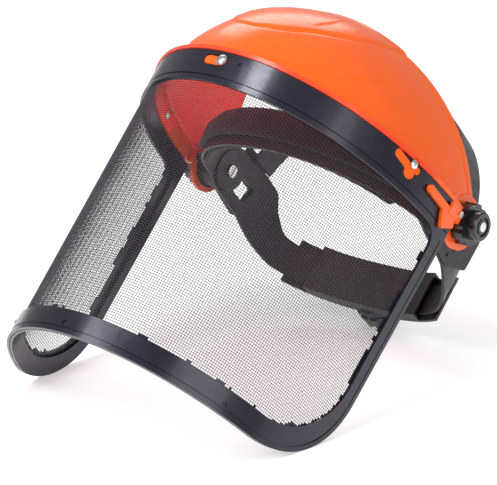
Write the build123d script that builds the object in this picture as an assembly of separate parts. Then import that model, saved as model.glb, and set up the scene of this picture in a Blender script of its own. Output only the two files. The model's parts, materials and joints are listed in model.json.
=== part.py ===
from build123d import *
import os
from math import sin, cos, radians, pi, sqrt

os.makedirs("parts", exist_ok=True)

# ---------------------------------------------------------------- dimensions
# Everything is first built as the wearer has it on: origin on the middle of
# the pivot axis, +X the wearer's left, +Y the back of the head, +Z up.
# At the end it is leaned forward onto the bench, and the origin goes to the
# middle of the footprint, on the bench.
LEAN = 45.9            # how far the headgear is leaned forward at rest, degrees

# visor: a sheet bent to a half ellipse
VIS_A = 109.6          # half width at the ears
VIS_B = 141.8          # reach ahead of the ellipse's centre
VIS_Y = -14.8          # ellipse centre, ahead of the pivots
VIS_BOT = -199.0       # bottom edge
VIS_TAPER = 0.037      # how much narrower the curve is 200 mm down
VIS_R = 58.0           # corner radius of the visor
BAND_H = 21.0          # top band height
FRAME_W = 15.0         # bottom frame width
SIDE_W = 10.3          # side frame width
OUT_T = 1.9            # outer frame thickness
MESH_T = 0.5           # woven wire sheet
INN_T = 1.3            # inner frame thickness

# browguard
SHELL_T = 2.4
RIM_Z0, RIM_Z1 = 0.3, 2.9
SKIRT_BOT = -8.6
DOME_IN = -5.7         # foot of the dome, inside the lip

# pivots
DISC_R = 17.5
DISC_X0, DISC_X1 = 101.9, 104.4
BOLT_R = 3.0
KNOB_X0, KNOB_X1, KNOB_X2 = 104.7, 113.0, 119.6
KNOB_R, HUB_R = 13.5, 9.3

# headband
HB_A = 86.0            # half width, middle of the strip
HB_FC = -7.0           # centre of the brow's half ellipse
HB_F = 69.0            # brow, ahead of that centre
HB_REAR = 89.4         # nape, behind the pivots
HB_N = 2.9             # squareness of the rear curve
HB_T = 2.0
NAPE_Z0, NAPE_Z1 = -34.0, -1.5
KN_Z = -20.5           # ratchet axis height
KN_R = 17.0            # ratchet knob radius
KN_Y0, KN_Y1 = 99.0, 109.2
PIN_R = 5.0            # pinion pitch radius

# crown strap
CS_A, CS_H = 85.2, 93.0
CS_Y0, CS_Y1 = 12.5, 36.5
CS_T = 1.6

def save(node, shape):
    nodes[node] = shape

nodes = {}

# ------------------------------------------------------------------- helpers
def taper(z):
    return 1.0 + VIS_TAPER * min(z, 0.0) / 200.0

def half_cone(off, z0, z1):
    k0, k1 = taper(z0), taper(z1)
    return loft([Plane.XY.offset(z0) * Pos(0, VIS_Y) * Ellipse(VIS_A * k0 + off, VIS_B * k0 + off),
                 Plane.XY.offset(z1) * Pos(0, VIS_Y) * Ellipse(VIS_A * k1 + off, VIS_B * k1 + off)], ruled=True)

def half_ring(o_out, o_in, z0, z1):
    """Wall between two ellipses, offset from the visor's own, front half."""
    s = half_cone(o_out, z0, z1) - half_cone(o_in, z0, z1)
    s = s - Pos(0, VIS_Y + 150, (z0 + z1) / 2) * Box(400, 300, z1 - z0 + 10)
    return s

def side_prism(pts, radii=None, x=140.0):
    """Prism across the whole width from a profile in Y, Z."""
    w = Polyline(*[(p[0], p[1]) for p in pts], close=True)
    f = make_face(w)
    if radii:
        vs = f.vertices()
        for (px, pz), r in zip(pts, radii):
            if r > 0:
                v = min(f.vertices(), key=lambda q: (q.X - px) ** 2 + (q.Y - pz) ** 2)
                f = fillet(v, r)
    f = Plane.YZ * f
    return extrude(f, x, both=True)

def xcyl(r, x0, x1, y=0.0, z=0.0):
    return Plane.YZ.offset(min(x0, x1)) * Pos(y, z) * extrude(Circle(r), abs(x1 - x0))

def ycyl(r, y0, y1, x=0.0, z=0.0):
    # Plane.XZ looks along -Y, so extrude backwards
    return Pos(x, y0, z) * Rot(-90, 0, 0) * extrude(Circle(r), y1 - y0)

def mirror_x(s):
    return mirror(s, about=Plane.YZ)

def both(s):
    return [s, mirror_x(s)]

def vis_pt(t, off=0.0, z=0.0):
    a, b = VIS_A * taper(z) + off, VIS_B * taper(z) + off
    return (a * sin(radians(t)), VIS_Y - b * cos(radians(t)), z)

def vis_plane(t, off, z):
    """Plane tangent to the visor at angle t, normal pointing outwards."""
    a, b = VIS_A * taper(z) + off, VIS_B * taper(z) + off
    p = vis_pt(t, off, z)
    n = Vector(sin(radians(t)) / a, -cos(radians(t)) / b, 0).normalized()
    xd = Vector(0, 0, 1).cross(n)
    return Plane(origin=p, x_dir=xd, z_dir=n)

# --------------------------------------------------------------------- visor
rear = VIS_Y
far = -260.0
out_prof = side_prism([(far, 0.0), (rear - 4.4, 0.0), (rear - 4.4, -12.0), (rear, -12.2), (rear, VIS_BOT), (far, VIS_BOT)],
                      [0, 0, 0, 1.5, VIS_R, 0])
win_prof = side_prism([(far, -BAND_H), (rear - SIDE_W, -BAND_H), (rear - SIDE_W, VIS_BOT + FRAME_W), (far, VIS_BOT + FRAME_W)],
                      [0, 13, VIS_R - SIDE_W + 2, 0])
outer = half_ring(0, -OUT_T, VIS_BOT, 0.0)
outer = (outer & out_prof) - win_prof
# groove above the band's lower lip, and another inside the frame's outer edge
outer = outer - half_ring(1.0, -0.8, -17.7, -16.8)
def edge_prof(d):
    return side_prism([(far, -24.0), (rear - d, -24.0), (rear - d, VIS_BOT + d), (far, VIS_BOT + d)], [0, 0, VIS_R - d, 0])
g2 = half_ring(1.0, -0.7, VIS_BOT, -24.0) & (edge_prof(3.0) - edge_prof(3.8))
outer = outer - g2
# keyholes that drop over the studs
STUDS = [(2.9, -5.9), (68.2, -2.1), (-68.2, -2.1)]
STUD_R = [3.7, 2.7, 2.7]
def slot(t, z, w, h, ang=0.0, depth=8.0):
    pl = vis_plane(t, 2.0, z)
    return extrude(pl * Rot(0, 0, ang) * SlotOverall(w, h), -depth)
def rnd(t, z, r, depth=8.0):
    pl = vis_plane(t, 2.0, z)
    return extrude(pl * Circle(r), -depth)
def keyhole(g):
    """The keyholes' outline, grown by g."""
    out = [slot(0.37, -6.4, 17.4 + 2 * g, 7.2 + 2 * g)]
    for sgn in (1, -1):
        out += [slot(sgn * 64.9, -3.9, 16.5 + 2 * g, 6.4 + 2 * g, -sgn * 12.0), rnd(sgn * 68.2, -7.6, 4.8 + g), rnd(sgn * 70.2, -3.6, 2.9 + g),
                rnd(sgn * 68.2, -2.4, 2.6 + g)]
    return out
cuts = keyhole(0.0)
for c in cuts:
    outer = outer - c
# blind dimple and heat-stake marks
outer = outer - extrude(vis_plane(9.8, 1.0, -5.8) * Circle(1.6), -1.7)
for t, z in ((53.8, -193.0), (-53.8, -193.0), (-1.6, -192.6)):
    outer = outer - extrude(vis_plane(t, 1.0, z) * Circle(1.6), -1.6)
RIVETS = [(-42.0, -188.0)]
def riv_hole(t, z):
    return extrude(vis_plane(t, 0.0, z) * Circle(1.4), 9.0, both=True)
for t, z in RIVETS:
    outer = outer - riv_hole(t, z)
save("visor_frame_outer", outer)

mesh_prof = side_prism([(far, -9.6), (rear - 2.5, -9.6), (rear - 2.5, VIS_BOT + 2.5), (far, VIS_BOT + 2.5)],
                       [0, 0, VIS_R - 2.5, 0])
mesh = half_ring(-OUT_T, -OUT_T - MESH_T, VIS_BOT, 0.0) & mesh_prof
for t, z in RIVETS:
    mesh = mesh - riv_hole(t, z)
save("visor_mesh", mesh)

inn_prof = side_prism([(far, -9.6), (rear, -9.6), (rear, VIS_BOT), (far, VIS_BOT)], [0, 0, VIS_R, 0])
inn_win = side_prism([(far, -BAND_H + 1.0), (rear - SIDE_W + 3.8, -BAND_H + 1.0), (rear - SIDE_W + 3.8, VIS_BOT + FRAME_W - 2.0),
                      (far, VIS_BOT + FRAME_W - 2.0)], [0, 12, VIS_R - SIDE_W + 4, 0])
inner = half_ring(-OUT_T - MESH_T, -OUT_T - MESH_T - INN_T, VIS_BOT, 0.0)
inner = (inner & inn_prof) - inn_win
for t, z in RIVETS:
    inner = inner - riv_hole(t, z)
save("visor_frame_inner", inner)

# rivets that close the two frames over the mesh
riv = []
for t, z in RIVETS:
    pl = vis_plane(t, 0.0, z)
    pin = extrude(pl * Circle(1.3), -(OUT_T + MESH_T + INN_T + 0.3)) + extrude(vis_plane(t, 0.12, z) * Circle(2.1), 0.7)
    pin = pin + extrude(pl * Circle(1.3), 0.3)
    riv.append(pin)

# ----------------------------------------------------------------- browguard
def lerp(a, b, k):
    return a + (b - a) * k

E_PTS = [(0.0, -85.3, 79.6), (22.0, -81.5, 79.0), (45.0, -69.0, 75.4), (65.0, -50.5, 67.6), (80.0, -33.2, 56.2),
         (90.5, -17.5, 42.5), (98.0, -5.7, 27.0), (104.2, 4.0, 11.4)]
def edge_curve(u):
    """Rear/top edge of the shell, u from 0 at the crown to 1 at the ear."""
    n = len(E_PTS) - 1
    # Catmull-Rom through the points
    s = min(max(u, 0.0), 1.0) * n
    i = min(int(s), n - 1)
    k = s - i
    p1, p2 = E_PTS[i], E_PTS[i + 1]
    p0 = E_PTS[i - 1] if i > 0 else (-E_PTS[1][0], E_PTS[1][1], E_PTS[1][2])
    p3 = E_PTS[i + 2] if i + 2 <= n else tuple(2 * p2[j] - p1[j] for j in range(3))
    out = []
    for j in range(3):
        out.append(0.5 * (2 * p1[j] + (p2[j] - p0[j]) * k + (2 * p0[j] - 5 * p1[j] + 4 * p2[j] - p3[j]) * k * k
                          + (3 * p1[j] - p0[j] - 3 * p2[j] + p3[j]) * k ** 3))
    return out

def dome(u, v, off=0.0):
    """Outer surface, u -1..1 ear to ear, v 0 at the rim to 1 at the edge."""
    sg = 1.0 if u >= 0 else -1.0
    a = abs(u)
    t = a * 90.0
    R = vis_pt(t, DOME_IN, RIM_Z1 - 0.6)
    E = edge_curve(a)
    k1 = lerp(0.15, 0.5, a ** 3)
    k2 = lerp(0.66, 0.5, a ** 3)
    M = (lerp(R[0], E[0], k1), lerp(R[1], E[1], k1), lerp(R[2], E[2], k2))
    p = [(1 - v) ** 2 * R[j] + 2 * v * (1 - v) * M[j] + v * v * E[j] for j in range(3)]
    return (sg * p[0], p[1], p[2])

NU, NV = 45, 11
grid = [[Vector(*dome(-1 + 2 * i / (NU - 1), j / (NV - 1))) for j in range(NV)] for i in range(NU)]
outer_face = Face.make_surface_from_array_of_points(grid, tol=0.1, min_deg=3, max_deg=5)
shell = Solid.thicken(outer_face, -SHELL_T)
cb = shell.bounding_box()
print("shell volume", round(shell.volume), "bb", cb.min, cb.max, "valid", shell.is_valid)

rim = half_ring(0.9, DOME_IN - SHELL_T - 0.2, RIM_Z0, RIM_Z1)
skirt = half_ring(-OUT_T - 0.2, -OUT_T - 2.8, SKIRT_BOT, RIM_Z1)
bg = rim + skirt
for s in (1, -1):
    disc = xcyl(DISC_R, DISC_X0, DISC_X1) if s > 0 else xcyl(DISC_R, -DISC_X1, -DISC_X0)
    arm = Pos(s * (DISC_X0 + DISC_X1) / 2, -10.5, (-8.6 + 9.0) / 2) * Box(DISC_X1 - DISC_X0, 19.0, 17.6)
    # hook over the end of the visor band, with its lug and springy finger
    base = Pos(s * (DISC_X0 + 112.3) / 2, -16.4, -4.6) * Box(112.3 - DISC_X0, 4.8, 8.0)
    plate = Pos(s * 111.2, -21.5, -4.6) * Box(2.2, 13.0, 8.0)
    lug = extrude(vis_plane(s * 85.8, 0.35, -11.6) * Rot(0, 0, s * 33) * RectangleRounded(12.6, 12.4, 1.6), 2.4)
    finger = extrude(vis_plane(s * 80.0, 0.35, -7.2) * Rot(0, 0, -s * 4) * SlotOverall(25.0, 5.0), 2.1)
    plate = plate + lug
    bg = bg + disc + arm + base + plate + finger
bg = bg + shell
# raised pads on the skirt that sit in the visor's keyholes
pads = [extrude(vis_plane(0.37, -0.5, -6.4) * SlotOverall(16.4, 5.9), -(OUT_T + 0.3))]
for sgn in (1, -1):
    pads.append(extrude(vis_plane(sgn * 64.9, -0.5, -3.9) * Rot(0, 0, -sgn * 12.0) * SlotOverall(15.6, 5.5), -(OUT_T + 0.3)))
    pads.append(extrude(vis_plane(sgn * 68.2, -0.45, -7.6) * Circle(4.3), -1.15))
    pads.append(extrude(vis_plane(sgn * 70.2, -0.4, -3.6) * Circle(2.4), -(OUT_T + 0.3)))
for k in pads:
    bg = bg + k
for s in (1, -1):
    # room for the washer, inside the shell's ears
    bg = bg - (xcyl(14.6, 92, DISC_X0) if s > 0 else xcyl(14.6, -DISC_X0, -92))
    bg = bg - (xcyl(BOLT_R + 0.06, 95, 115) if s > 0 else xcyl(BOLT_R + 0.06, -115, -95))
# stud holes through the skirt
for t, z in STUDS:
    bg = bg - extrude(vis_plane(t, 0.0, z) * Circle(2.05), 9.0, both=True)
    bg = bg - extrude(vis_plane(t, 0.0, z) * Circle(4.2), 6.0)
    bg = bg - extrude(vis_plane(t, -OUT_T - 2.9, z) * Circle(3.4), -3.5)
for s in (1, -1):
    bg = bg - Pos(s * 106, -16.4, -3.0) * Rot(0, 90, 0) * Cylinder(1.35, 24)
print("browguard solids", len(bg.solids()), "valid", bg.is_valid, "vol", round(bg.volume))
save("browguard_shell", bg)

studs = []
for (t, z), r in zip(STUDS, STUD_R):
    pl = vis_plane(t, 0.0, z)
    shank = extrude(pl * Circle(1.95), -(OUT_T + 3.7)) + extrude(pl * Circle(1.95), 0.9)
    dome_r = r * 1.55
    cap = Plane(origin=vis_pt(t, 0.35, z), x_dir=pl.x_dir, z_dir=pl.z_dir)
    head = extrude(cap * Circle(r), 0.5) + (Plane(origin=cap.origin + cap.z_dir * (0.5 - sqrt(dome_r ** 2 - r ** 2)), x_dir=pl.x_dir, z_dir=pl.z_dir)
            * Sphere(dome_r) & extrude(Plane(origin=cap.origin + cap.z_dir * 0.5, x_dir=pl.x_dir, z_dir=pl.z_dir) * Circle(r + 1), 4.0))
    tail = extrude(vis_plane(t, -OUT_T - 3.0, z) * Circle(2.9), -0.8)
    studs.append(shank + head + tail)
# rivets through the hooks
hook_riv = []
for s in (1, -1):
    hook_riv.append(Pos(s * 106.9, -16.4, -3.0) * Rot(0, 90, 0) * Cylinder(1.3, 12.0)
                    + Pos(s * 112.8, -16.4, -3.0) * Rot(0, 90, 0) * Cylinder(2.1, 0.9)
                    + Pos(s * 101.4, -16.4, -3.0) * Rot(0, 90, 0) * Cylinder(2.1, 0.9))

# -------------------------------------------------------------------- pivots
def flute(r, n, depth, rad):
    f = Circle(r)
    for i in range(n):
        a = 2 * pi * i / n
        f = f - Pos((r + rad - depth) * cos(a), (r + rad - depth) * sin(a)) * Circle(rad)
    return f

kn = Plane.YZ.offset(KNOB_X0) * extrude(flute(KNOB_R, 8, 1.5, 3.4), KNOB_X1 - KNOB_X0)
hub = xcyl(HUB_R, KNOB_X1, KNOB_X2)
knob = kn + hub
knob = chamfer(knob.faces().sort_by(Axis.X)[-1].edges(), 0.9)
knob = knob - xcyl(6.2, KNOB_X2 - 1.2, KNOB_X2 + 1)
knob = knob + (xcyl(4.6, KNOB_X2 - 1.3, KNOB_X2 - 0.2))
knob = knob - xcyl(BOLT_R + 0.05, KNOB_X0 - 1, KNOB_X2 + 1)
save("pivot_knob_left", knob)
save("pivot_knob_right", mirror_x(knob))

bolt = xcyl(BOLT_R, 83.0, KNOB_X2 + 0.2) + xcyl(4.2, 81.6, 83.3)
bolt = bolt - Pos(81.6, 0, 0) * Box(1.4, 1.1, 9.0)
save("pivot_bolt_left", bolt)
save("pivot_bolt_right", mirror_x(bolt))

washer = xcyl(14.0, 100.2, 101.7) - xcyl(BOLT_R + 0.1, 99, 103)
save("pivot_washers", Compound(children=both(washer)))

# ------------------------------------------------------------------ headband
def plan_points(off, a=HB_A, b=HB_REAR, n_=HB_N):
    """Closed plan curve of the headband, offset outwards by off."""
    raw = []
    N = 64
    for i in range(N):
        th = 2 * pi * i / N
        c, s = cos(th), sin(th)
        if s <= 0:
            x, y = a * c, HB_FC + HB_F * s
        else:
            x = a * (1 if c >= 0 else -1) * abs(c) ** (2 / n_)
            y = HB_FC + (b - HB_FC) * abs(s) ** (2 / n_)
        raw.append((x, y))
    out = []
    n = len(raw)
    for i in range(n):
        x0, y0 = raw[(i - 1) % n]
        x1, y1 = raw[(i + 1) % n]
        dx, dy = x1 - x0, y1 - y0
        L = sqrt(dx * dx + dy * dy)
        out.append((raw[i][0] + off * dy / L, raw[i][1] - off * dx / L))
    return out

def plan_ring(o_out, o_in, z0, z1, **kw):
    fo = make_face(Spline(*plan_points(o_out, **kw), periodic=True))
    fi = make_face(Spline(*plan_points(o_in, **kw), periodic=True))
    return extrude(Plane.XY.offset(z0) * (fo - fi), z1 - z0)

hb_prof_pts = [(-110, 7.3), (-27, 7.3), (-17, 11), (-9, 17), (4.0, 18.6), (34.0, 18.6), (48, 15), (54, 4),
               (64, -7), (95, -10), (95, -30.5), (66, -30.5), (47, -25.5), (28, -18.5), (10, -16.5), (-4, -15), (-16, -12), (-50, -15.5), (-110, -20.5)]
hb_r = [0, 3, 6, 5, 8, 6, 8, 8, 10, 0, 0, 10, 20, 12, 10, 10, 8, 0, 0]
hb = plan_ring(1.0, -1.0, -40, 35) & side_prism(hb_prof_pts, hb_r)
# the strap ends stop short inside the nape sleeve
hb = hb - Pos(0, 90, -20) * Box(60, 60, 60)
# slanted square window behind each pivot
win = side_prism([(13.0, 4.5), (30.0, 4.0), (27.5, -8.5), (10.5, -7.5)], [1.2, 1.2, 1.2, 1.2])
hb = hb - win
for s in (1, -1):
    pad = xcyl(14.0, 83.6, 86.2) if s > 0 else xcyl(14.0, -86.2, -83.6)
    hb = hb + pad
    hb = hb - (xcyl(BOLT_R + 0.1, 80, 105) if s > 0 else xcyl(BOLT_R + 0.1, -105, -80))
# flat ear plates outside the strip, each with the boss that spaces the browguard off
EAR_X0, EAR_X1 = 87.4, 89.0
ear_pts = [(-15.5, 2), (-12, 13), (-2, 18), (8.0, 19), (8.0, 26), (33.0, 26), (37, 21), (47, 12), (46.5, -10.3), (26.5, -18.4), (12.5, -16.8), (-9, -13.5)]
ear_r = [8, 6, 4, 1.5, 3, 4, 5, 3, 4, 4, 8, 6]
ear_face = make_face(Polyline(*ear_pts, close=True))
for (px, pz), r in zip(ear_pts, ear_r):
    v = min(ear_face.vertices(), key=lambda q: (q.X - px) ** 2 + (q.Y - pz) ** 2)
    ear_face = fillet(v, r)
ear = extrude(Plane.YZ.offset(EAR_X0) * ear_face, EAR_X1 - EAR_X0)
ear = ear + xcyl(12.5, EAR_X1 - 0.4, 100.0)
ear = ear - win - xcyl(BOLT_R + 0.1, 80, 105)
ear = ear - xcyl(1.3, EAR_X1 - 0.6, EAR_X1 + 1.0, 21.5, -13.5)
save("ear_plate_left", ear)
save("ear_plate_right", mirror_x(ear))
print("headband solids", len(hb.solids()), "valid", hb.is_valid, "vol", round(hb.volume))
save("headband", hb)

# sweatband: folded over the brow strip, clear of it all round
sw_out = plan_ring(6.7, 1.7, -7.0, 9.6)
sw_in = plan_ring(-1.7, -6.5, -15.0, 9.6)
sw_top = plan_ring(6.7, -6.5, 8.1, 9.6)
sw = sw_out + sw_in + sw_top
sw = sw & (Pos(0, -112, 0) * Box(300, 160, 100))
save("sweatband", sw)

# ----------------------------------------------------------------- nape unit
def nape_cut(x):
    return Pos(0, 100, -20) * Box(2 * x, 110, 80)
COV = dict(a=104.0, b=94.6, n_=2.35)      # the cover is flatter than the straps inside it
wall_out = plan_ring(0.0, -1.9, NAPE_Z0, NAPE_Z1, **COV) & nape_cut(64.5)
wall_in = plan_ring(-3.5, -5.3, NAPE_Z0, NAPE_Z1) & nape_cut(46)
lips = (plan_ring(6.0, -5.3, NAPE_Z0, NAPE_Z0 + 1.8) + plan_ring(6.0, -5.3, NAPE_Z1 - 1.8, NAPE_Z1)) & nape_cut(46)
out_cut = plan_ring(20.0, -2.2, NAPE_Z0 - 5, NAPE_Z1 + 5, **COV) & nape_cut(80)
nape_in = wall_in + lips - out_cut
save("nape_sleeve", nape_in)
boss = ycyl(15.2, 93.0, 98.6, 0, KN_Z) - ycyl(13.2, 88.0, 96.6, 0, KN_Z)
boss = boss & (Pos(0, 95, -21) * Box(60, 20, 30))
cov = wall_out + boss
cov = cov - ycyl(13.2, 85.0, 96.6, 0, KN_Z)
cov = cov - ycyl(3.6, 80, 105, 0, KN_Z)
save("ratchet_cover", cov)

# racks and pinion
pitch = 2 * pi * PIN_R / 10
def rack(side):
    """side +1: left strap's rack, above the pinion; -1: right, below."""
    z_tip = KN_Z + side * (PIN_R - 0.6)
    z_root = KN_Z + side * (PIN_R + 1.5)
    z_back = KN_Z + side * (PIN_R + 4.5)
    zc = (z_root + z_back) / 2
    x0, x1 = (-12.0, 24.0) if side > 0 else (-24.0, 12.0)
    body = Pos((x0 + x1) / 2, 87.8, zc) * Box(x1 - x0, 1.8, abs(z_back - z_root))
    n0 = int((x0 + 2) / pitch) - 1
    teeth = []
    k = -5
    out = body
    for k in range(-9, 10):
        xc = (k + 0.5) * pitch
        if x0 + 1.0 < xc < x1 - 1.0:
            w_root, w_tip = 0.75, 0.3
            tri = make_face(Polyline((xc - w_root, z_root + side * 0.2), (xc + w_root, z_root + side * 0.2), (xc + w_tip, z_tip), (xc - w_tip, z_tip), close=True))
            tri = Plane.XZ.offset(-88.7) * tri
            out = out + extrude(tri, 1.8)
    return out
save("ratchet_rack_left", rack(1))
save("ratchet_rack_right", rack(-1))

def pinion():
    r_tip, r_root = PIN_R + 0.9, PIN_R - 1.3
    f = Circle(r_root)
    for i in range(10):
        a = 36.0 * i + 90.0
        t = make_face(Polyline((r_root - 0.4, -0.75), (r_root - 0.4, 0.75), (r_tip, 0.3), (r_tip, -0.3), close=True))
        f = f + Rot(0, 0, a) * t
    return f
pin = Pos(0, 86.6, KN_Z) * Rot(-90, 0, 0) * extrude(pinion(), 3.0)
shaft = ycyl(3.5, 89.0, KN_Y0 + 1, 0, KN_Z)
save("ratchet_pinion", pin + shaft)

kr = Pos(0, KN_Y0, KN_Z) * Rot(-90, 0, 0) * extrude(flute(KN_R, 12, 1.1, 3.0), KN_Y1 - KN_Y0)
kr = chamfer(kr.faces().sort_by(Axis.Y)[-1].edges(), 0.8)
kr = kr - ycyl(9.5, KN_Y1 - 2.0, KN_Y1 + 1, 0, KN_Z)
kr = kr - ycyl(3.5, KN_Y0 - 1, KN_Y0 + 1, 0, KN_Z)
save("ratchet_knob", kr)

# -------------------------------------------------------------- crown strap
def cs_ring(a, h, t, y0, y1):
    f = Ellipse(a, h) - Ellipse(a - t, h - t)
    return Pos(0, y0, 0) * Rot(-90, 0, 0) * extrude(f, y1 - y0)
ZB = 19.4
up = Pos(0, 15, ZB + 100) * Box(300, 100, 200)
left_half = (cs_ring(CS_A + CS_T + 0.1, CS_H + CS_T + 0.1, CS_T, CS_Y0, CS_Y1) & up) - Pos(-102, 15, 60) * Box(160, 100, 400)
right_half = (cs_ring(CS_A, CS_H, CS_T, CS_Y0 + 1.0, CS_Y1 - 1.0) & up) - Pos(102, 15, 60) * Box(160, 100, 400)
# the strap is narrow over the crown and widens to a tab at each side
CS_YT = 24.0
top_cut = side_prism([(CS_YT, 200), (CS_YT, 77.0), (27.0, 75.0), (33.5, 73.2), (37.5, 69.0), (60, 69.0), (60, 200)], [0, 1.5, 0, 2.5, 0, 0, 0])
left_half = left_half - top_cut
right_half = right_half - Pos(0, -1.0, 0) * top_cut
ym = (CS_Y0 + CS_YT) / 2
for xh in (-18, -12, -6, 0, 6, 12, 18):
    left_half = left_half - Pos(xh, ym, CS_H + 1) * Cylinder(2.4, 20)
for xh in (-6, 6):
    right_half = right_half + Pos(xh, ym, CS_H + 1.2) * Cylinder(2.0, 3.6)
save("crown_strap_left", left_half)
save("crown_strap_right", right_half)

# ---------------------------------------------------------------- placement
lean = Rot(-LEAN, 0, 0)
save("visor_rivets", Compound(children=riv))
save("visor_studs", Compound(children=studs))
save("hook_rivets", Compound(children=hook_riv))
placed = {k: lean * v for k, v in nodes.items()}
lo = [1e9] * 3
hi = [-1e9] * 3
for v in placed.values():
    b = v.bounding_box()
    for i, (m, M) in enumerate(((b.min.X, b.max.X), (b.min.Y, b.max.Y), (b.min.Z, b.max.Z))):
        lo[i] = min(lo[i], m)
        hi[i] = max(hi[i], M)
DX, DY, DZ = -(lo[0] + hi[0]) / 2, -(lo[1] + hi[1]) / 2, -lo[2]
print("shift", round(DX, 3), round(DY, 3), round(DZ, 3), "size", [round(hi[i] - lo[i], 2) for i in range(3)])
for k, v in placed.items():
    if k in ("ratchet_knob", "visor_frame_outer", "visor_frame_inner"):
        print(k, "lowest", round(v.bounding_box().min.Z + DZ, 3))
    export_step(Pos(DX, DY, DZ) * v, f"parts/{k}.step")
print("nodes", len(placed))
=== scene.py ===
# Face shield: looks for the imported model.
import bpy, bmesh, math, json
import numpy as np
from mathutils import Vector, Matrix


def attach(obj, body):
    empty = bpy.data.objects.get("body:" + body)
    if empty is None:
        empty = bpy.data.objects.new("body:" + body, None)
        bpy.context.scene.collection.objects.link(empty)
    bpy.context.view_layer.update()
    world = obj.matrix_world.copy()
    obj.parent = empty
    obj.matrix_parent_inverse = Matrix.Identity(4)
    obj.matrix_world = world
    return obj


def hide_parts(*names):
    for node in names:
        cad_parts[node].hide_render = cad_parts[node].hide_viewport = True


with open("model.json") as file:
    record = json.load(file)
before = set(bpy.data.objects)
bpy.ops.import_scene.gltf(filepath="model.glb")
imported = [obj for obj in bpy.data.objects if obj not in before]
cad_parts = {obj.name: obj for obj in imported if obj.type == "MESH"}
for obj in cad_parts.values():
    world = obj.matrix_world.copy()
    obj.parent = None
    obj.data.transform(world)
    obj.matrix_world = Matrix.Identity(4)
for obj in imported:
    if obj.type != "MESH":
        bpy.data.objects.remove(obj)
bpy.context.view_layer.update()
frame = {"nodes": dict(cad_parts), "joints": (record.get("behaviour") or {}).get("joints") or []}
NODES = frame["nodes"]

# ------------------------------------------------------------------ placing
# "own" is the headgear as it is worn: +X the wearer's left, +Y the back of
# the head, +Z up, origin on the middle of the pivot axis, millimetres. The
# model leans forward onto the floor from that.
LEAN = math.radians(45.9)
CP, SP = math.cos(LEAN), math.sin(LEAN)
PIV = Vector([j for j in frame["joints"] if j["name"] == "browguard_tilt"][0]["pos_m"])

def own(x, y, z):
    return Vector((x, y * CP + z * SP, -y * SP + z * CP)) * 0.001 + PIV

def own_arr(p):
    p = np.asarray(p, float)
    q = np.empty_like(p)
    q[..., 0] = p[..., 0]
    q[..., 1] = p[..., 1] * CP + p[..., 2] * SP
    q[..., 2] = -p[..., 1] * SP + p[..., 2] * CP
    return q * 0.001 + np.array(PIV)

# ------------------------------------------------------------------- camera
def make_camera():
    a, e = 0.698, 0.295
    r = Vector((math.cos(a), math.sin(a), 0))
    b = Vector((math.sin(a) * math.cos(e), -math.cos(a) * math.cos(e), math.sin(e)))
    u = b.cross(r)
    c = b * 1718.656 + r * -52.456 + u * -31.67
    cam = bpy.data.cameras.new("camera")
    ob = bpy.data.objects.new("camera", cam)
    bpy.context.scene.collection.objects.link(ob)
    m = Matrix((r, u, b)).transposed().to_4x4()
    m.translation = c * 0.001 + PIV
    ob.matrix_world = m
    cam.sensor_fit = "HORIZONTAL"
    cam.sensor_width = 36.0
    cam.lens = 36.0 * 2676.163 / 497.0
    cam.clip_start, cam.clip_end = 0.05, 20
    bpy.context.scene.camera = ob
    return r, u, b
CAM_R, CAM_U, CAM_B = make_camera()

# ---------------------------------------------------------------- materials
def new_mat(name):
    m = bpy.data.materials.new(name)
    m.use_nodes = True
    nt = m.node_tree
    for n in list(nt.nodes):
        nt.nodes.remove(n)
    out = nt.nodes.new("ShaderNodeOutputMaterial")
    bs = nt.nodes.new("ShaderNodeBsdfPrincipled")
    nt.links.new(bs.outputs[0], out.inputs[0])
    return m, nt, bs

def coords(nt, scale=(1, 1, 1)):
    tc = nt.nodes.new("ShaderNodeTexCoord")
    mp = nt.nodes.new("ShaderNodeMapping")
    mp.inputs["Scale"].default_value = scale
    nt.links.new(tc.outputs["Object"], mp.inputs["Vector"])
    return mp.outputs[0]

def noise(nt, vec, scale, detail=4.0, rough=0.55):
    n = nt.nodes.new("ShaderNodeTexNoise")
    n.inputs["Scale"].default_value = scale
    n.inputs["Detail"].default_value = detail
    n.inputs["Roughness"].default_value = rough
    nt.links.new(vec, n.inputs["Vector"])
    return n.outputs["Fac"]

def ramp(nt, fac, stops):
    r = nt.nodes.new("ShaderNodeValToRGB")
    els = r.color_ramp.elements
    while len(els) < len(stops):
        els.new(0.5)
    for el, (p, c) in zip(els, stops):
        el.position = p
        el.color = c if len(c) == 4 else (*c, 1)
    nt.links.new(fac, r.inputs[0])
    return r.outputs[0]

def maprange(nt, fac, lo, hi, f0=0.0, f1=1.0):
    r = nt.nodes.new("ShaderNodeMapRange")
    r.inputs["From Min"].default_value = f0
    r.inputs["From Max"].default_value = f1
    r.inputs["To Min"].default_value = lo
    r.inputs["To Max"].default_value = hi
    nt.links.new(fac, r.inputs["Value"])
    return r.outputs[0]

def bump(nt, bs, height, strength, dist, below=None):
    b = nt.nodes.new("ShaderNodeBump")
    b.inputs["Strength"].default_value = strength
    b.inputs["Distance"].default_value = dist
    nt.links.new(height, b.inputs["Height"])
    if below is not None:
        nt.links.new(below, b.inputs["Normal"])
    nt.links.new(b.outputs[0], bs.inputs["Normal"])
    return b.outputs[0]

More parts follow.
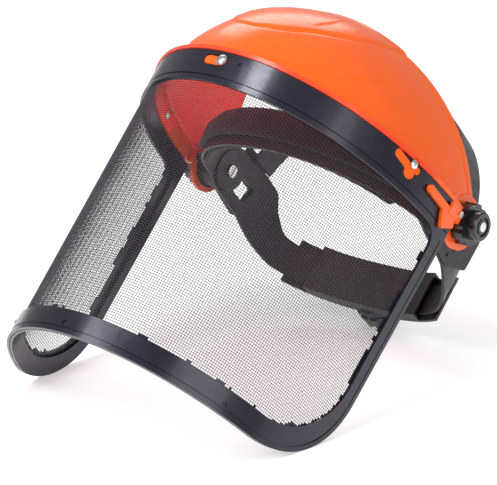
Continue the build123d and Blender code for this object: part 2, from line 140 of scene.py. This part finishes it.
def plastic(name, dark, light, rough=(0.3, 0.45), grain=900.0, grain_h=0.00002, spec=0.5, coat=0.0, blotch=18.0, coat_rough=0.1):
    """Moulded plastic: slow colour drift, fine grain in the surface, uneven gloss."""
    m, nt, bs = new_mat(name)
    v = coords(nt)
    slow = noise(nt, v, blotch, 3.0, 0.6)
    nt.links.new(ramp(nt, slow, [(0.3, dark), (0.7, light)]), bs.inputs["Base Color"])
    mid = noise(nt, v, 140.0, 5.0, 0.6)
    nt.links.new(maprange(nt, mid, rough[0], rough[1], 0.3, 0.7), bs.inputs["Roughness"])
    fine = noise(nt, v, grain, 3.0, 0.6)
    n1 = bump(nt, bs, fine, 0.35, grain_h)
    bs.inputs["Specular IOR Level"].default_value = spec
    bs.inputs["Coat Weight"].default_value = coat
    bs.inputs["Coat Roughness"].default_value = coat_rough
    return m

def metal(name, color, rough=(0.16, 0.3), scratch=260.0):
    m, nt, bs = new_mat(name)
    v = coords(nt)
    n = noise(nt, v, scratch, 4.0, 0.7)
    dark = tuple(c * 0.8 for c in color)
    nt.links.new(ramp(nt, n, [(0.3, dark), (0.65, color)]), bs.inputs["Base Color"])
    nt.links.new(maprange(nt, n, rough[0], rough[1], 0.3, 0.7), bs.inputs["Roughness"])
    bump(nt, bs, noise(nt, v, 1400.0, 2.0), 0.2, 0.00001)
    bs.inputs["Metallic"].default_value = 1.0
    return m

M_ORANGE = plastic("orange_plastic", (0.97, 0.118, 0.006), (1.0, 0.145, 0.009), rough=(0.2, 0.3), grain=1500, grain_h=0.000006, coat=0.12, blotch=9.0, coat_rough=0.15, spec=0.4)
# the shell's inside: a darker, redder copy of the orange that paints in its shade, plus a painted glow
M_ORANGE_IN_SHADE_GLOW = plastic("orange_inside_painted_shade_glow", (0.80, 0.035, 0.014), (0.88, 0.05, 0.02), rough=(0.34, 0.46), grain=900, grain_h=0.00001, spec=0.3)
bs = [n for n in M_ORANGE_IN_SHADE_GLOW.node_tree.nodes if n.type == "BSDF_PRINCIPLED"][0]
bs.inputs["Emission Color"].default_value = (0.85, 0.03, 0.022, 1)      # painted glow: emission standing in for light through the shell and light bounced inside it
bs.inputs["Emission Strength"].default_value = 0.34
# the rim lip: a darker, redder copy of the orange that paints in the shade under the dome's bulge
M_RIM_SHADE = plastic("orange_rim_painted_shade", (0.86, 0.055, 0.012), (0.93, 0.075, 0.016), rough=(0.24, 0.34), grain=1500, grain_h=0.000006, coat=0.1)
M_GLOSS = plastic("gloss_black_plastic", (0.008, 0.008, 0.011), (0.014, 0.014, 0.018), rough=(0.16, 0.26), grain=1200, grain_h=0.000006, coat=0.3)
M_FRAME = plastic("visor_black_plastic", (0.007, 0.0065, 0.014), (0.013, 0.012, 0.024), rough=(0.2, 0.3), grain=1000, grain_h=0.00001, coat=0.15)
for n in M_FRAME.node_tree.nodes:
    if n.type == "BSDF_PRINCIPLED":
        n.inputs["Specular Tint"].default_value = (0.84, 0.84, 1.0, 1)
M_BLACK = plastic("satin_black_plastic", (0.013, 0.011, 0.016), (0.022, 0.019, 0.026), rough=(0.42, 0.56), grain=1100, grain_h=0.00003)
M_STRAP = plastic("strap_plastic", (0.014, 0.012, 0.017), (0.024, 0.02, 0.028), rough=(0.4, 0.55), grain=1100, grain_h=0.00003)
M_STEEL = metal("bright_steel", (0.78, 0.79, 0.81))
M_WHITE = plastic("white_plastic", (0.62, 0.62, 0.6), (0.72, 0.72, 0.7), rough=(0.35, 0.5))

MATS = {
    "browguard_shell": M_ORANGE, "visor_frame_outer": M_FRAME, "visor_frame_inner": M_FRAME,
    "visor_rivets": M_STEEL, "hook_rivets": M_STEEL, "visor_studs": M_STEEL,
    "pivot_bolt_left": M_STEEL, "pivot_bolt_right": M_STEEL, "pivot_washers": M_BLACK,
    "pivot_knob_left": M_GLOSS, "pivot_knob_right": M_GLOSS,
    "headband": M_STRAP, "ear_plate_left": M_BLACK, "ear_plate_right": M_BLACK,
    "nape_sleeve": M_BLACK, "ratchet_cover": M_BLACK, "ratchet_knob": M_GLOSS, "ratchet_pinion": M_WHITE,
    "ratchet_rack_left": M_STRAP, "ratchet_rack_right": M_STRAP,
    "crown_strap_left": M_STRAP, "crown_strap_right": M_STRAP,
    "visor_mesh": M_BLACK, "sweatband": M_BLACK,
}
for name, ob in NODES.items():
    m = MATS.get(name, M_BLACK)
    for s in ob.material_slots:
        s.link = "OBJECT"
        s.material = m
    if not ob.material_slots:
        ob.data.materials.append(m)

# ------------------------------------------------------------------ helpers
def obj_from(name, verts, faces, mats, smooth=True, mat_index=None):
    me = bpy.data.meshes.new(name)
    me.from_pydata([tuple(v) for v in verts], [], faces)
    for m in mats:
        me.materials.append(m)
    if mat_index is not None:
        me.polygons.foreach_set("material_index", np.asarray(mat_index, np.int32))
    me.polygons.foreach_set("use_smooth", np.full(len(me.polygons), smooth))
    me.update()
    ob = bpy.data.objects.new(name, me)
    bpy.context.scene.collection.objects.link(ob)
    return ob

def obj_fast(name, verts, quads, mats, smooth=True):
    """A mesh from numpy arrays, quads only."""
    me = bpy.data.meshes.new(name)
    n, q = len(verts), len(quads)
    me.vertices.add(n)
    me.vertices.foreach_set("co", np.asarray(verts, np.float32).ravel())
    me.loops.add(q * 4)
    me.loops.foreach_set("vertex_index", np.asarray(quads, np.int32).ravel())
    me.polygons.add(q)
    me.polygons.foreach_set("loop_start", np.arange(0, q * 4, 4, dtype=np.int32))
    me.update(calc_edges=True)
    me.polygons.foreach_set("use_smooth", np.full(q, smooth))
    for m in mats:
        me.materials.append(m)
    me.validate()
    ob = bpy.data.objects.new(name, me)
    bpy.context.scene.collection.objects.link(ob)
    return ob

# visor's curved wall, same numbers as the CAD
VIS_A, VIS_B, VIS_Y, VIS_BOT, VIS_TAPER = 109.6, 141.8, -14.8, -199.0, 0.037
OUT_T, MESH_T, INN_T, VIS_R = 1.9, 0.5, 1.3, 58.0

def taper(z):
    return 1.0 + VIS_TAPER * np.minimum(z, 0.0) / 200.0

def vis(t, off, z):
    """Points on the wall; t in radians from the front, off outwards, z up."""
    t, off, z = np.broadcast_arrays(np.asarray(t, float), np.asarray(off, float), np.asarray(z, float))
    k = taper(z)
    return np.stack([(VIS_A * k + off) * np.sin(t), VIS_Y - (VIS_B * k + off) * np.cos(t), z], -1)

def even_t(n_target_mm, off):
    """Angles spaced evenly along the wall's own length, symmetric about the front."""
    tt = np.linspace(0, math.pi / 2, 4001)
    p = vis(tt, off, -60.0)
    s = np.concatenate([[0], np.cumsum(np.linalg.norm(np.diff(p, axis=0), axis=1))])
    k = int(s[-1] / n_target_mm)
    side = np.interp(np.arange(k + 1) * n_target_mm + n_target_mm / 2, s, tt)
    side = side[side < math.pi / 2 - 0.004]
    return np.concatenate([-side[::-1], side])

PITCH, WIRE_R, WEAVE = 1.62, 0.17, 0.15
Z_TOP, Z_LOW, Y_SIDE = -9.9, VIS_BOT + 2.8, VIS_Y - 2.8
R_C = VIS_R - 2.8

def z_floor(y):
    """Lowest point of the sheet at that own Y, following its rounded corner."""
    cy, cz = Y_SIDE - R_C, Z_LOW + R_C
    return np.where(y > cy, cz - np.sqrt(np.clip(R_C ** 2 - (y - cy) ** 2, 0, None)), Z_LOW)

def tubes(paths, name, mat):
    """Four-sided wires along the given lists of own-frame points, with normals."""
    V, Q, base = [], [], 0
    for p, nrm in paths:
        d = np.gradient(p, axis=0)
        d /= np.linalg.norm(d, axis=1, keepdims=True)
        b = np.cross(d, nrm)
        b /= np.linalg.norm(b, axis=1, keepdims=True)
        n = np.cross(b, d)
        ring = np.stack([p + WIRE_R * n, p + WIRE_R * b, p - WIRE_R * n, p - WIRE_R * b], 1)
        V.append(own_arr(ring.reshape(-1, 3)))
        k = len(p)
        i = np.arange(k - 1)[:, None] * 4 + np.arange(4)[None, :]
        j = np.arange(k - 1)[:, None] * 4 + (np.arange(4)[None, :] + 1) % 4
        q = np.stack([i, j, j + 4, i + 4], -1).reshape(-1, 4) + base
        Q.append(q)
        Q.append(np.array([[3, 2, 1, 0], [4 * k - 4, 4 * k - 3, 4 * k - 2, 4 * k - 1]]) + base)
        base += 4 * k
    return obj_fast(name, np.concatenate(V), np.concatenate(Q), [mat])

def make_wires(mat):
    off = -OUT_T - MESH_T / 2
    ts = even_t(PITCH, off)
    zs = np.arange(Z_TOP, Z_LOW, -PITCH)
    def normals(t):
        n = np.stack([np.sin(t) / VIS_A, -np.cos(t) / VIS_B, 0 * t], -1)
        return n / np.linalg.norm(n, axis=-1, keepdims=True)
    # up the sheet
    up = []
    for i, t in enumerate(ts):
        y = vis(t, off, -100.0)[1]
        if y > Y_SIDE:
            continue
        z = zs[zs > z_floor(y)]
        if len(z) < 3:
            continue
        sgn = np.where((np.arange(len(z)) + i) % 2 == 0, 1.0, -1.0)
        p = vis(t, off + WEAVE * sgn, z)
        up.append((t, p, np.repeat(normals(np.array([t])), len(z), 0)))
    across = []
    for j, z in enumerate(zs):
        p0 = vis(ts, off, z)
        ok = (p0[:, 1] <= Y_SIDE) & (z > z_floor(p0[:, 1]))
        idx = np.nonzero(ok)[0]
        if len(idx) < 3:
            continue
        sgn = np.where((idx + j) % 2 == 0, -1.0, 1.0)
        p = vis(ts[idx], off + WEAVE * sgn, z)
        across.append((z, ts[idx], p, normals(ts[idx])))
    out = [tubes([(p, n) for t, p, n in up if t < 0], "mesh_wires_up_right", mat),
           tubes([(p, n) for t, p, n in up if t >= 0], "mesh_wires_up_left", mat)]
    zm = np.median([a[0] for a in across])
    out.append(tubes([(p, n) for z, tt, p, n in across if z >= zm], "mesh_wires_across_top", mat))
    out.append(tubes([(p, n) for z, tt, p, n in across if z < zm], "mesh_wires_across_bottom", mat))
    for o in out:
        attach(o, "browguard")
    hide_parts("visor_mesh")
    return out

M_WIRE = plastic("black_coated_wire", (0.03, 0.024, 0.036), (0.05, 0.042, 0.06), rough=(0.35, 0.5), grain=3000, grain_h=0.000004)
WIRES = make_wires(M_WIRE)
print("wires", [len(o.data.polygons) for o in WIRES])


# ------------------------------------------------------------------ browguard
# The dome's outer surface, same numbers as the CAD, then finely meshed with its
# moulded panels, hem and rolled edge. The rest of the shell keeps its CAD shape.
E_PTS = np.array([(0.0, -85.3, 79.6), (22.0, -81.5, 79.0), (45.0, -69.0, 75.4), (65.0, -50.5, 67.6), (80.0, -33.2, 56.2),
                  (90.5, -17.5, 42.5), (98.0, -5.7, 27.0), (104.2, 4.0, 11.4)])
DOME_IN, RIM_Z, WALL = -5.7, 2.3, 2.4

def edge_curve(a):
    n = len(E_PTS) - 1
    s = np.clip(a, 0, 1) * n
    i = np.minimum(s.astype(int), n - 1)
    k = (s - i)[..., None]
    first = np.array([-E_PTS[1][0], E_PTS[1][1], E_PTS[1][2]])
    ext = np.vstack([first[None], E_PTS, (2 * E_PTS[-1] - E_PTS[-2])[None]])
    p0, p1, p2, p3 = ext[i], ext[i + 1], ext[i + 2], ext[i + 3]
    return 0.5 * (2 * p1 + (p2 - p0) * k + (2 * p0 - 5 * p1 + 4 * p2 - p3) * k ** 2 + (3 * p1 - p0 - 3 * p2 + p3) * k ** 3)

def dome(u, v):
    u, v = np.broadcast_arrays(np.asarray(u, float), np.asarray(v, float))
    a = np.abs(u)
    t = a * math.pi / 2
    R = np.stack([(VIS_A + DOME_IN) * np.sin(t), VIS_Y - (VIS_B + DOME_IN) * np.cos(t), np.full(t.shape, RIM_Z)], -1)
    E = edge_curve(a)
    k1 = 0.15 + 0.35 * a ** 3
    k2 = 0.66 - 0.16 * a ** 3
    k = np.stack([k1, k1, k2], -1)
    M = R + (E - R) * k
    v = v[..., None]
    p = (1 - v) ** 2 * R + 2 * v * (1 - v) * M + v * v * E
    p[..., 0] *= np.where(u < 0, -1.0, 1.0)
    return p

def sstep(x):
    x = np.clip(x * 0.5 + 0.5, 0, 1)
    return x * x * (3 - 2 * x)

def crease(line, A, V, P):
    """Signed distance in mm to a line drawn in the dome's own a, v coordinates, and how far along it."""
    line = np.asarray(line, float)
    seg = np.concatenate([[0], np.cumsum(np.hypot(*np.diff(line, axis=0).T))])
    # smooth the corners of the drawn line
    tt = np.linspace(0, seg[-1], 240)
    la, lv = np.interp(tt, seg, line[:, 0]), np.interp(tt, seg, line[:, 1])
    ker = np.hanning(25); ker /= ker.sum()
    pad = 12
    la = np.convolve(np.pad(la, pad, mode="reflect", reflect_type="odd"), ker, "valid")
    lv = np.convolve(np.pad(lv, pad, mode="reflect", reflect_type="odd"), ker, "valid")
    Q = dome(la, lv)
    Pa = P.copy(); Pa[..., 0] = np.abs(Pa[..., 0])
    flat = Pa.reshape(-1, 3)
    best = np.full(len(flat), 1e9); idx = np.zeros(len(flat), int)
    for k in range(len(Q)):
        d = ((flat - Q[k]) ** 2).sum(1)
        m = d < best
        best[m] = d[m]; idx[m] = k
    da, dv = np.gradient(la), np.gradient(lv)
    side = da[idx] * (V.ravel() - lv[idx]) - dv[idx] * (A.ravel() - la[idx])
    d = np.sqrt(best) * np.sign(side)
    along = idx / (len(Q) - 1.0)
    return d.reshape(A.shape), along.reshape(A.shape)

def make_dome():
    NU, NV = 381, 121
    un = np.linspace(-1, 1, NU)
    vn = np.linspace(0, 1, NV)
    U, V = np.meshgrid(un, vn, indexing="ij")
    P = dome(U, V)
    N = np.cross(np.gradient(P, axis=0), np.gradient(P, axis=1))
    N /= np.linalg.norm(N, axis=-1, keepdims=True)
    N *= np.sign((N * (P - np.array([0, -30.0, 0]))).sum(-1))[..., None]
    A = np.abs(U)
    h = np.full(A.shape, 0.16)
    # raised crown panel
    d, _ = crease([(-0.06, 0.30), (0.0, 0.30), (0.10, 0.33), (0.15, 0.37), (0.20, 0.45), (0.25, 0.53), (0.285, 0.64), (0.31, 0.80), (0.33, 1.0), (0.34, 1.1)], A, V, P)
    h += 1.0 * sstep(d / 2.2) - 0.3 * np.exp(-((d + 1.4) / 0.9) ** 2)
    # small step on the crown
    d, s = crease([(0.13, 0.50), (0.177, 0.504), (0.185, 0.64), (0.168, 0.82), (0.15, 0.95)], A, V, P)
    w = np.clip(s / 0.2, 0, 1) * np.clip((1 - s) / 0.3, 0, 1)
    h += 0.5 * sstep(d / 1.6) * np.exp(-(np.maximum(d, 0) / 12) ** 2) * w
    # side panel's upper line
    d, s = crease([(0.17, 0.10), (0.234, 0.106), (0.28, 0.118), (0.35, 0.18), (0.42, 0.262), (0.462, 0.355), (0.475, 0.50)], A, V, P)
    w = np.clip(s / 0.25, 0, 1) * np.clip((1 - s) / 0.3, 0, 1)
    h += 0.75 * sstep(d / 1.8) * np.exp(-(np.maximum(d, 0) / 16) ** 2) * w - 0.22 * np.exp(-((d + 1.2) / 0.9) ** 2) * w
    # facet behind it, towards the ear
    d, s = crease([(0.462, 0.345), (0.50, 0.365), (0.545, 0.40), (0.60, 0.42)], A, V, P)
    w = np.clip(s / 0.2, 0, 1) * np.clip((1 - s) / 0.5, 0, 1)
    h += 0.5 * sstep(-d / 2.5) * np.exp(-(np.minimum(d, 0) / 14) ** 2) * w
    # crease running down to the ear
    d, s = crease([(0.72, 0.36), (0.77, 0.42), (0.82, 0.60), (0.90, 0.735), (0.93, 0.80)], A, V, P)
    w = np.clip(s / 0.3, 0, 1) * np.clip((1 - s) / 0.3, 0, 1)
    h += 0.45 * sstep(d / 1.8) * np.exp(-(np.maximum(d, 0) / 9) ** 2) * w
    # hem along the free edge
    L = np.linalg.norm(np.diff(P, axis=1), axis=-1)
    L = np.concatenate([L, np.zeros((NU, 1))], 1)
    to_edge = np.cumsum(L[:, ::-1], 1)[:, ::-1]
    h += 0.45 * sstep((5.0 - to_edge) / 0.7) - 0.15 * np.exp(-((to_edge - 6.2) / 0.8) ** 2)
    # all of it dies out at the rim and at the pivots
    fade = np.clip(V / 0.05, 0, 1) * np.clip((1 - A) / 0.06, 0, 1)
    h = 0.16 + (h - 0.16) * fade
    outer = P + N * h[..., None]
    # the free edge is thinner where it passes the ear plates
    near = 0.22 * np.clip(1.6 - np.abs(A - 0.74) / 0.12, 0, 1)
    inner = P - N * (WALL + 0.14 - near * np.clip((V - 0.85) / 0.15, 0, 1))[..., None]
    near = near[:, -1:]
    T = P[:, -1] - P[:, -2]
    T /= np.linalg.norm(T, axis=-1, keepdims=True)
    e, n = P[:, -1], N[:, -1]
    roll = np.stack([e + T * 0.4 + n * (h[:, -1:] - 0.25), e + T * 0.62 - n * 0.5, e + T * 0.66 - n * 1.2,
                     e + T * 0.6 - n * (2.0 - near * 0.6), e + T * 0.36 - n * (2.4 - near)], 1)
    ring = np.concatenate([outer, roll, inner[:, ::-1]], 1)
    R = ring.shape[1]
    verts = own_arr(ring.reshape(-1, 3))
    i = np.arange(NU - 1)[:, None] * R
    j = np.arange(R)[None, :]
    k = (j + 1) % R
    quads = np.stack([np.broadcast_to(i + j, (NU - 1, R)), i + k, i + R + k, np.broadcast_to(i + R + j, (NU - 1, R))], -1).reshape(-1, 4)
    # inside faces take the painted-shade orange with its painted glow
    mi = np.broadcast_to(np.where(np.arange(R) < NV + 3, 0, 1)[None], (NU - 1, R)).ravel()
    caps = []
    for base, flip in ((0, False), ((NU - 1) * R, True)):
        for a in range(R // 2 - 1):
            qd = [base + a, base + a + 1, base + R - 2 - a, base + R - 1 - a]
            caps.append(qd[::-1] if flip else qd)
    ob = obj_fast("browguard_dome", verts, np.concatenate([quads, np.array(caps)]), [M_ORANGE, M_ORANGE_IN_SHADE_GLOW])
    full = np.concatenate([mi, np.zeros(len(caps), int)]).astype(np.int32)
    ob.data.polygons.foreach_set("material_index", full)
    bm = bmesh.new(); bm.from_mesh(ob.data)
    bmesh.ops.recalc_face_normals(bm, faces=bm.faces)
    bm.to_mesh(ob.data); bm.free()
    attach(ob, "browguard")
    return ob

def make_fittings():
    """The shell's rim, skirt, discs and hooks: the CAD shape, with its inside and its rim in darker, redder copies of
    the orange that paint in their shade, the inside with a painted glow as well.
    """
    src = NODES["browguard_shell"]
    me = src.data.copy()
    ob = bpy.data.objects.new("browguard_fittings", me)
    bpy.context.scene.collection.objects.link(ob)
    ob.matrix_world = src.matrix_world.copy()
    me.materials.clear()
    for m in (M_ORANGE, M_ORANGE_IN_SHADE_GLOW, M_RIM_SHADE):
        me.materials.append(m)
    mi = np.zeros(len(me.polygons), np.int32)
    piv = np.array(PIV)
    for f in me.polygons:
        c = (np.array(f.center) - piv) * 1000.0
        n = np.array(f.normal)
        co = np.array([c[0], c[1] * CP - c[2] * SP, c[1] * SP + c[2] * CP])
        no = np.array([n[0], n[1] * CP - n[2] * SP, n[1] * SP + n[2] * CP])
        inward = no @ np.array([-co[0], -28.0 - co[1], 0.0]) > 0.12 * np.hypot(co[0], co[1] + 28.0)
        # faces turned inwards take the painted-shade orange with its painted glow
        if inward and abs(co[0]) < 101.0:
            mi[f.index] = 1
        # the band just above the rim takes the painted-shade rim orange
        elif abs(co[0]) < 107 and 0.0 < co[2] < 3.2 and co[1] < -14:
            mi[f.index] = 2
    me.polygons.foreach_set("material_index", mi)
    me.update()
    for s in ob.material_slots:
        s.link = "DATA"
    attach(ob, "browguard")
    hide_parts("browguard_shell")
    return ob

DOME = make_dome()
FITTINGS = make_fittings()
print("dome", len(DOME.data.polygons), "fittings", len(FITTINGS.data.polygons))

# ------------------------------------------------------------------ sweatband
def make_cloth():
    """Fine perforated cloth over foam, black with a red-brown cast."""
    m, nt, bs = new_mat("sweatband_cloth")
    v = coords(nt)
    vo = nt.nodes.new("ShaderNodeTexVoronoi")
    vo.inputs["Scale"].default_value = 900.0
    nt.links.new(v, vo.inputs["Vector"])
    slow = noise(nt, v, 30.0, 4.0)
    nt.links.new(ramp(nt, slow, [(0.3, (0.014, 0.008, 0.013)), (0.7, (0.028, 0.015, 0.022))]), bs.inputs["Base Color"])
    nt.links.new(maprange(nt, vo.outputs["Distance"], 0.75, 0.95), bs.inputs["Roughness"])
    fib = noise(nt, v, 2600.0, 3.0)
    b1 = bump(nt, bs, fib, 0.4, 0.00006)
    bump(nt, bs, vo.outputs["Distance"], 0.7, 0.00016, below=b1)
    bs.inputs["Sheen Weight"].default_value = 0.25
    bs.inputs["Sheen Roughness"].default_value = 0.5
    bs.inputs["Specular IOR Level"].default_value = 0.2
    return m
M_CLOTH = make_cloth()

def plan(th, off):
    a, f, c = 86.0, 69.0, -7.0
    x, y = a * np.cos(th), c + f * np.sin(th)
    dx, dy = -a * np.sin(th), f * np.cos(th)
    L = np.hypot(dx, dy)
    return x + off * dy / L, y - off * dx / L

def make_sweatband():
    # half sections, in distance from the strap's middle and height: the outside
    # flap hangs to a rolled hem, the inside one to the band's lower edge
    th0, th1 = math.radians(-158.0), math.radians(-22.0)
    n = 150
    rows = []
    for k in range(n):
        t = k / (n - 1)
        th = th0 + (th1 - th0) * t
        e = min(t, 1 - t)
        close = math.sin(min(e / 0.035, 1.0) * math.pi / 2) ** 0.6          # ends pinch shut
        arch = math.sin(min(max(t, 0), 1) * math.pi)
        puff = 1 + 0.035 * math.sin(t * 61.0) + 0.03 * math.sin(t * 23.0 + 1.0)
        hem = -6.6 - 3.8 * arch                                                # outer hem's height
        top = 9.8 + 1.0 * arch
        o = 6.9 * puff
        sec = [(1.9, hem + 0.5), (2.6, hem - 0.7), (3.9, hem - 1.1), (5.2, hem - 0.8), (6.1, hem + 0.1), (6.3, hem + 1.1),
               (5.75, hem + 2.1), (5.7, hem + 2.9), (6.2 * puff, hem + 4.0), (o, hem + 7.0), (o + 0.1, 0.5), (o - 0.2, 4.0), (o - 1.4, 7.2), (3.4, top - 0.5),
               (0.6, top), (-2.6, top - 0.2), (-5.2 * puff, top - 2.3), (-6.5 * puff, top - 5.5), (-6.9 * puff, 0.0), (-6.8 * puff, -5.0),
               (-6.6 * puff, -9.0), (-6.1, -11.6), (-5.75, -12.5), (-6.1, -13.3), (-5.9, -14.7), (-5.0, -15.8), (-3.8, -16.2), (-2.6, -15.6), (-1.9, -14.3),
               (-1.8, -9.0), (-1.75, -2.0), (-1.7, 5.0), (-1.5, 7.7), (-0.6, 8.35), (0.6, 8.35), (1.5, 7.7), (1.75, 5.0), (1.8, 0.0), (1.85, -4.0)]
        mo = sum(a for a, b in sec) / len(sec)
        rows.append([(mo * 0 + a * (0.35 + 0.65 * close), 2.0 + (b - 2.0) * (0.5 + 0.5 * close)) for a, b in sec])
    R = len(rows[0])
    V = []
    for k in range(n):
        t = k / (n - 1)
        th = th0 + (th1 - th0) * t
        for a, b in rows[k]:
            x, y = plan(th, a)
            V.append((x, y, b))
    V = own_arr(np.array(V))
    F = []
    for k in range(n - 1):
        for a in range(R):
            b = (a + 1) % R
            F.append((k * R + a, k * R + b, (k + 1) * R + b, (k + 1) * R + a))
    F.append(tuple(range(R))[::-1])
    F.append(tuple((n - 1) * R + a for a in range(R)))
    ob = obj_from("sweatband_pad", V, F, [M_CLOTH])
    bm = bmesh.new(); bm.from_mesh(ob.data)
    bmesh.ops.recalc_face_normals(bm, faces=bm.faces)
    bm.to_mesh(ob.data); bm.free()
    sub = ob.modifiers.new("smooth", "SUBSURF")
    sub.levels = sub.render_levels = 1
    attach(ob, "headgear")
    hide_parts("sweatband")
    return ob
SWEAT = make_sweatband()

# ---------------------------------------------------------------------- flash
def make_flash():
    """Moulding flash: mesh cells beside the frames' inner edges that the plastic has run into."""
    rng = np.random.default_rng(5)
    off = -OUT_T - MESH_T / 2
    ts = even_t(PITCH, off)
    zs = np.arange(Z_TOP, Z_LOW, -PITCH)
    side_w, bot_w = 10.3, 15.0
    V, Q = [], []
    def plate(t0, t1, z0, z1):
        a = len(V)
        for o in (off + 0.42, off - 0.42):
            for t, z in ((t0, z0), (t1, z0), (t1, z1), (t0, z1)):
                V.append(vis(t, o, z))
        for q in ((0, 1, 2, 3), (7, 6, 5, 4), (0, 4, 5, 1), (1, 5, 6, 2), (2, 6, 7, 3), (3, 7, 4, 0)):
            Q.append([a + k for k in q])
    # window boundary: y = VIS_Y - side_w at the sides, z = VIS_BOT + bot_w at the bottom, rounded corner
    r = VIS_R - side_w + 2
    ymax, zmin = VIS_Y - side_w, VIS_BOT + bot_w
    cy, cz = ymax - r, zmin + r
    run = 0
    depth_prev = {}
    for i in range(len(ts) - 1):
        y = vis((ts[i] + ts[i + 1]) / 2, off, -100.0)[1]
        if y > ymax:
            continue
        zf = cz - math.sqrt(max(r * r - (y - cy) ** 2, 0)) if y > cy else zmin
        # columns grow upward from the bottom frame in runs of like height
        if run <= 0:
            run = int(rng.integers(1, 4))
            hgt = rng.choice([0, 0, 0, 1, 1, 1, 2])
        run -= 1
        k = int(np.sum(zs > zf - 0.2))
        for c in range(int(hgt)):
            j = k - 1 - c
            if 0 < j < len(zs) - 1:
                plate(ts[i], ts[i + 1], zs[j], zs[j + 1] if c == 0 else zs[j + 1])
        if hgt >= 0 and k < len(zs) - 1:
            plate(ts[i], ts[i + 1], zs[k - 1], zf - 0.8)
    # the sides, in runs down the sheet
    for sg in (-1, 1):
        run = 0
        for j in range(8, len(zs) - 1):
            z = (zs[j] + zs[j + 1]) / 2
            if z < cz + 2:
                break
            if run <= 0:
                run = int(rng.integers(2, 7))
                w = rng.choice([0, 0, 1, 1] if sg > 0 else [2, 3, 3, 4, 4])
            run -= 1
            sel = [i for i in range(len(ts) - 1) if ts[i] * sg > 0 and vis(ts[i], off, z)[1] <= ymax + 1.0 and vis(ts[i + 1], off, z)[1] <= ymax + 1.0]
            sel = sorted(sel, key=lambda i: -abs(ts[i]))[:int(w)]
            for i in sel:
                plate(ts[i], ts[i + 1], zs[j], zs[j + 1])
    ob = obj_fast("mesh_flash", own_arr(np.array(V)), np.array(Q), [M_FRAME], smooth=False)
    bm = bmesh.new(); bm.from_mesh(ob.data)
    bmesh.ops.recalc_face_normals(bm, faces=bm.faces)
    bm.to_mesh(ob.data); bm.free()
    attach(ob, "browguard")
    return ob
FLASH = make_flash()

# --------------------------------------------------------------- worn edges
for name in ("visor_frame_outer", "visor_frame_inner", "headband", "ear_plate_left", "ear_plate_right", "nape_sleeve",
             "ratchet_cover", "ratchet_knob", "pivot_knob_left", "pivot_knob_right", "crown_strap_left", "crown_strap_right"):
    b = NODES[name].modifiers.new("edge", "BEVEL")
    b.width = 0.0004
    b.segments = 2
    b.limit_method = "ANGLE"
    b.angle_limit = math.radians(50)
    b.harden_normals = False

# -------------------------------------------------------------- floor, light
def add_light(name, kind, loc, target, size, power, color=(1, 1, 1), size_y=None):
    l = bpy.data.lights.new(name, kind)
    l.energy = power
    l.color = color
    if kind == "AREA":
        l.size = size
        if size_y:
            l.shape = "RECTANGLE"
            l.size_y = size_y
    ob = bpy.data.objects.new(name, l)
    bpy.context.scene.collection.objects.link(ob)
    ob.location = loc
    ob.rotation_mode = "QUATERNION"
    ob.rotation_quaternion = (Vector(target) - Vector(loc)).to_track_quat("-Z", "Y")
    return ob

def make_stage():
    bpy.ops.mesh.primitive_plane_add(size=8.0, location=(0, 0, 0))
    fl = bpy.context.object
    fl.name = "floor"
    m, nt, bs = new_mat("floor_white")
    v = coords(nt)
    nt.links.new(ramp(nt, noise(nt, v, 3.0), [(0.3, (0.86, 0.86, 0.86)), (0.7, (0.88, 0.88, 0.88))]), bs.inputs["Base Color"])
    bs.inputs["Roughness"].default_value = 0.9
    bs.inputs["Specular IOR Level"].default_value = 0.1
    bs.inputs["Emission Color"].default_value = (1, 0.99, 1, 1)
    bs.inputs["Emission Strength"].default_value = 0.42
    fl.data.materials.append(m)
    w = bpy.data.worlds.new("studio")
    w.use_nodes = True
    bg = w.node_tree.nodes["Background"]
    bg.inputs[0].default_value = (1, 1, 1, 1)
    bg.inputs[1].default_value = 0.42
    bpy.context.scene.world = w
    return fl
make_stage()
C0 = Vector((0, 0, 0.12))
add_light("spot", "AREA", C0 + Vector((0.055, -0.53, 1.13)), C0, 0.30, 4.6)
add_light("back", "AREA", C0 + Vector((-0.85, 1.05, 0.95)), C0, 1.1, 6.5, size_y=0.7)
add_light("key", "AREA", C0 + CAM_B * 0.7 + CAM_R * -1.0 + Vector((0, 0, 0.8)), C0, 0.7, 13.0)
add_light("fill", "AREA", C0 + CAM_B * 1.3 + CAM_R * 0.9 + Vector((0, 0, 0.25)), C0, 0.8, 5.5)
bpy.context.scene.view_settings.view_transform = "Standard"
